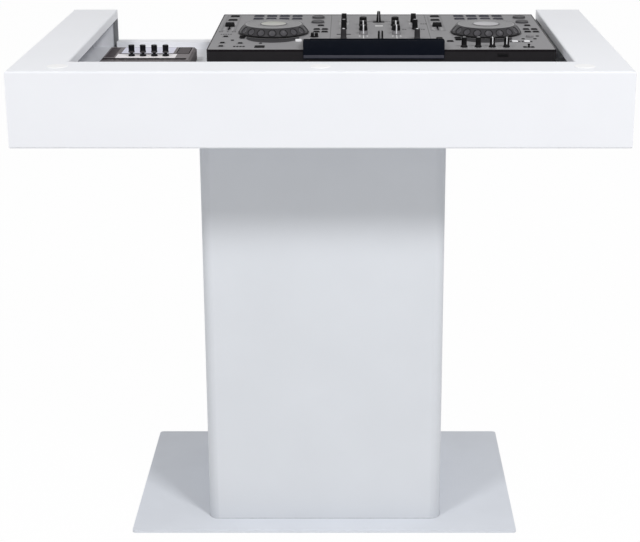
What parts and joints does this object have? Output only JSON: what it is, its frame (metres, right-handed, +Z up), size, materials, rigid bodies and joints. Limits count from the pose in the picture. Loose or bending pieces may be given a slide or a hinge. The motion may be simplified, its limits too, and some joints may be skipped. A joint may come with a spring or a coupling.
{
  "type": "dj booth",
  "caption": "White sheet-steel DJ booth: a tray with a broad U-shaped ledge on a box column and flat base, holding a two-deck mixing console and a small knob unit.",
  "frame": {"origin": "on the floor under the middle of the base plate", "axes": "+Z up, +X to the right as the audience sees it, -Y towards the audience, +Y towards the player"},
  "size_m": [1.21, 0.77, 1.0693],
  "materials": {
    "booth_white": "satin white powder coat",
    "column_white": "satin white powder coat",
    "base_white": "satin white powder coat",
    "cap_white": "matt white",
    "port_plastic": "matt white",
    "pad_rubber": "matt black",
    "fastener_steel": "zinc-plated",
    "console_case": "fine-grained dark grey",
    "console_panel": "satin anodised grey",
    "circuit_board": "green laminate",
    "socket_plastic": "matt black",
    "display_gloss": "glossy blue-black",
    "display_glass": "dark switched-off screen",
    "jog_skirt": "satin dark grey",
    "jog_top": "satin grey",
    "jog_display": "light display disc",
    "button_dark": "glossy dark grey",
    "performance_pad": "matt dark grey",
    "key_plastic": "matt black",
    "toggle_metal": "plated",
    "fader_cap": "matt black",
    "knob_rubber": "matt black",
    "side_case": "matt black",
    "side_panel": "satin lilac grey",
    "side_knob": "matt black"
  },
  "bodies": {
    "jog_left": {"jog_wheel_left": "jog_skirt", "jog_plate_left": "jog_top"},
    "play_button_left": {"play_button_left": "button_dark"},
    "cue_button_left": {"cue_button_left": "button_dark"},
    "tempo_fader_left": {"tempo_fader_left": "fader_cap"},
    "channel_fader_left": {"channel_fader_left": "fader_cap"},
    "jog_right": {"jog_wheel_right": "jog_skirt", "jog_plate_right": "jog_top"},
    "play_button_right": {"play_button_right": "button_dark"},
    "cue_button_right": {"cue_button_right": "button_dark"},
    "tempo_fader_right": {"tempo_fader_right": "fader_cap"},
    "channel_fader_right": {"channel_fader_right": "fader_cap"},
    "crossfader": {"crossfader": "fader_cap"},
    "browse_knob": {"browse_knob": "knob_rubber"},
    "eq_knob_left_1": {"eq_knob_left_1": "knob_rubber"},
    "eq_knob_left_2": {"eq_knob_left_2": "knob_rubber"},
    "eq_knob_left_3": {"eq_knob_left_3": "knob_rubber"},
    "eq_knob_right_1": {"eq_knob_right_1": "knob_rubber"},
    "eq_knob_right_2": {"eq_knob_right_2": "knob_rubber"},
    "eq_knob_right_3": {"eq_knob_right_3": "knob_rubber"},
    "level_knob_left_1": {"level_knob_left_1": "knob_rubber"},
    "level_knob_left_2": {"level_knob_left_2": "knob_rubber"},
    "level_knob_right_1": {"level_knob_right_1": "knob_rubber"},
    "level_knob_right_2": {"level_knob_right_2": "knob_rubber"},
    "loop_knob_left": {"loop_knob_left": "knob_rubber"},
    "loop_knob_right": {"loop_knob_right": "knob_rubber"},
    "mic_knob_1": {"mic_knob_1": "knob_rubber"},
    "mic_knob_2": {"mic_knob_2": "knob_rubber"},
    "mic_knob_3": {"mic_knob_3": "knob_rubber"},
    "mic_knob_4": {"mic_knob_4": "knob_rubber"},
    "side_knob_1": {"side_knob_1": "side_knob"},
    "side_knob_2": {"side_knob_2": "side_knob"},
    "side_knob_3": {"side_knob_3": "side_knob"},
    "side_knob_4": {"side_knob_4": "side_knob"},
    "toggle_switch": {"toggle_switch": "toggle_metal"},
    "booth": {"base_glides": "pad_rubber", "base_plate": "base_white", "cable_port": "port_plastic", "column_rear_panel": "column_white", "column_shell": "column_white", "console_case": "console_case", "console_feet": "pad_rubber", "console_top_plate": "console_panel", "display_glass": "display_glass", "display_housing": "display_gloss", "end_panels": "booth_white", "fasteners": "fastener_steel", "front_channel": "booth_white", "jog_spindles": "jog_display", "keys": "key_plastic", "ledge_caps": "cap_white", "left_channel": "booth_white", "main_board": "circuit_board", "pads": "performance_pad", "rear_sockets": "socket_plastic", "right_channel": "booth_white", "shelf": "booth_white", "shelf_stiffeners": "booth_white", "side_unit_case": "side_case", "side_unit_panel": "side_panel"}
  },
  "joints": [
    {"name": "jog_left_spin", "type": "hinge", "parent": "booth", "child": "jog_left", "pos_m": [-0.112, 0.0849, 1.045], "axis": [0, 0, 1], "continuous": true},
    {"name": "play_button_left_press", "type": "slide", "parent": "booth", "child": "play_button_left", "axis": [0, 0, -1], "range_m": [0, 0.0015], "stiffness_N_per_m": 800},
    {"name": "cue_button_left_press", "type": "slide", "parent": "booth", "child": "cue_button_left", "axis": [0, 0, -1], "range_m": [0, 0.0015], "stiffness_N_per_m": 800},
    {"name": "tempo_left_slide", "type": "slide", "parent": "booth", "child": "tempo_fader_left", "axis": [0, 1, 0], "range_m": [-0.05, 0.05]},
    {"name": "channel_left_slide", "type": "slide", "parent": "booth", "child": "channel_fader_left", "axis": [0, 1, 0], "range_m": [-0.03, 0.03]},
    {"name": "jog_right_spin", "type": "hinge", "parent": "booth", "child": "jog_right", "pos_m": [0.356, 0.0849, 1.045], "axis": [0, 0, 1], "continuous": true},
    {"name": "play_button_right_press", "type": "slide", "parent": "booth", "child": "play_button_right", "axis": [0, 0, -1], "range_m": [0, 0.0015], "stiffness_N_per_m": 800},
    {"name": "cue_button_right_press", "type": "slide", "parent": "booth", "child": "cue_button_right", "axis": [0, 0, -1], "range_m": [0, 0.0015], "stiffness_N_per_m": 800},
    {"name": "tempo_right_slide", "type": "slide", "parent": "booth", "child": "tempo_fader_right", "axis": [0, 1, 0], "range_m": [-0.05, 0.05]},
    {"name": "channel_right_slide", "type": "slide", "parent": "booth", "child": "channel_fader_right", "axis": [0, 1, 0], "range_m": [-0.03, 0.03]},
    {"name": "crossfader_slide", "type": "slide", "parent": "booth", "child": "crossfader", "axis": [1, 0, 0], "range_m": [-0.0225, 0.0225]},
    {"name": "browse_knob_turn", "type": "hinge", "parent": "booth", "child": "browse_knob", "pos_m": [0.122, -0.00317, 1.045], "axis": [0, 0, 1], "continuous": true},
    {"name": "eq_knob_left_1_turn", "type": "hinge", "parent": "booth", "child": "eq_knob_left_1", "pos_m": [0.08581, 0.17997, 1.045], "axis": [0, 0, 1], "range_deg": [-150, 150]},
    {"name": "eq_knob_left_2_turn", "type": "hinge", "parent": "booth", "child": "eq_knob_left_2", "pos_m": [0.08581, 0.12405, 1.045], "axis": [0, 0, 1], "range_deg": [-150, 150]},
    {"name": "eq_knob_left_3_turn", "type": "hinge", "parent": "booth", "child": "eq_knob_left_3", "pos_m": [0.08581, 0.06813, 1.045], "axis": [0, 0, 1], "range_deg": [-150, 150]},
    {"name": "eq_knob_right_1_turn", "type": "hinge", "parent": "booth", "child": "eq_knob_right_1", "pos_m": [0.15819, 0.17997, 1.045], "axis": [0, 0, 1], "range_deg": [-150, 150]},
    {"name": "eq_knob_right_2_turn", "type": "hinge", "parent": "booth", "child": "eq_knob_right_2", "pos_m": [0.15819, 0.12405, 1.045], "axis": [0, 0, 1], "range_deg": [-150, 150]},
    {"name": "eq_knob_right_3_turn", "type": "hinge", "parent": "booth", "child": "eq_knob_right_3", "pos_m": [0.15819, 0.06813, 1.045], "axis": [0, 0, 1], "range_deg": [-150, 150]},
    {"name": "level_knob_left_1_turn", "type": "hinge", "parent": "booth", "child": "level_knob_left_1", "pos_m": [0.04258, 0.13011, 1.045], "axis": [0, 0, 1], "range_deg": [-150, 150]},
    {"name": "level_knob_left_2_turn", "type": "hinge", "parent": "booth", "child": "level_knob_left_2", "pos_m": [0.04258, 0.00615, 1.045], "axis": [0, 0, 1], "range_deg": [-150, 150]},
    {"name": "level_knob_right_1_turn", "type": "hinge", "parent": "booth", "child": "level_knob_right_1", "pos_m": [0.20142, 0.13011, 1.045], "axis": [0, 0, 1], "range_deg": [-150, 150]},
    {"name": "level_knob_right_2_turn", "type": "hinge", "parent": "booth", "child": "level_knob_right_2", "pos_m": [0.20142, 0.00615, 1.045], "axis": [0, 0, 1], "range_deg": [-150, 150]},
    {"name": "loop_knob_left_turn", "type": "hinge", "parent": "booth", "child": "loop_knob_left", "pos_m": [-0.02097, 0.03178, 1.045], "axis": [0, 0, 1], "continuous": true},
    {"name": "loop_knob_right_turn", "type": "hinge", "parent": "booth", "child": "loop_knob_right", "pos_m": [0.44703, 0.03178, 1.045], "axis": [0, 0, 1], "continuous": true},
    {"name": "mic_knob_1_turn", "type": "hinge", "parent": "booth", "child": "mic_knob_1", "pos_m": [0.2955, -0.094, 1.045], "axis": [0, 0, 1], "range_deg": [-150, 150]},
    {"name": "mic_knob_2_turn", "type": "hinge", "parent": "booth", "child": "mic_knob_2", "pos_m": [0.3251, -0.094, 1.045], "axis": [0, 0, 1], "range_deg": [-150, 150]},
    {"name": "mic_knob_3_turn", "type": "hinge", "parent": "booth", "child": "mic_knob_3", "pos_m": [0.3547, -0.094, 1.045], "axis": [0, 0, 1], "range_deg": [-150, 150]},
    {"name": "mic_knob_4_turn", "type": "hinge", "parent": "booth", "child": "mic_knob_4", "pos_m": [0.3843, -0.094, 1.045], "axis": [0, 0, 1], "range_deg": [-150, 150]},
    {"name": "side_knob_1_turn", "type": "hinge", "parent": "booth", "child": "side_knob_1", "pos_m": [-0.43095, 0.1072, 0.989], "axis": [0, 0, 1], "range_deg": [-150, 150]},
    {"name": "side_knob_2_turn", "type": "hinge", "parent": "booth", "child": "side_knob_2", "pos_m": [-0.40565, 0.1072, 0.989], "axis": [0, 0, 1], "range_deg": [-150, 150]},
    {"name": "side_knob_3_turn", "type": "hinge", "parent": "booth", "child": "side_knob_3", "pos_m": [-0.38035, 0.1072, 0.989], "axis": [0, 0, 1], "range_deg": [-150, 150]},
    {"name": "side_knob_4_turn", "type": "hinge", "parent": "booth", "child": "side_knob_4", "pos_m": [-0.35505, 0.1072, 0.989], "axis": [0, 0, 1], "range_deg": [-150, 150]},
    {"name": "toggle_rock", "type": "hinge", "parent": "booth", "child": "toggle_switch", "pos_m": [0.4313, -0.094, 1.04325], "axis": [1, 0, 0], "range_deg": [-12, 12]}
  ]
}
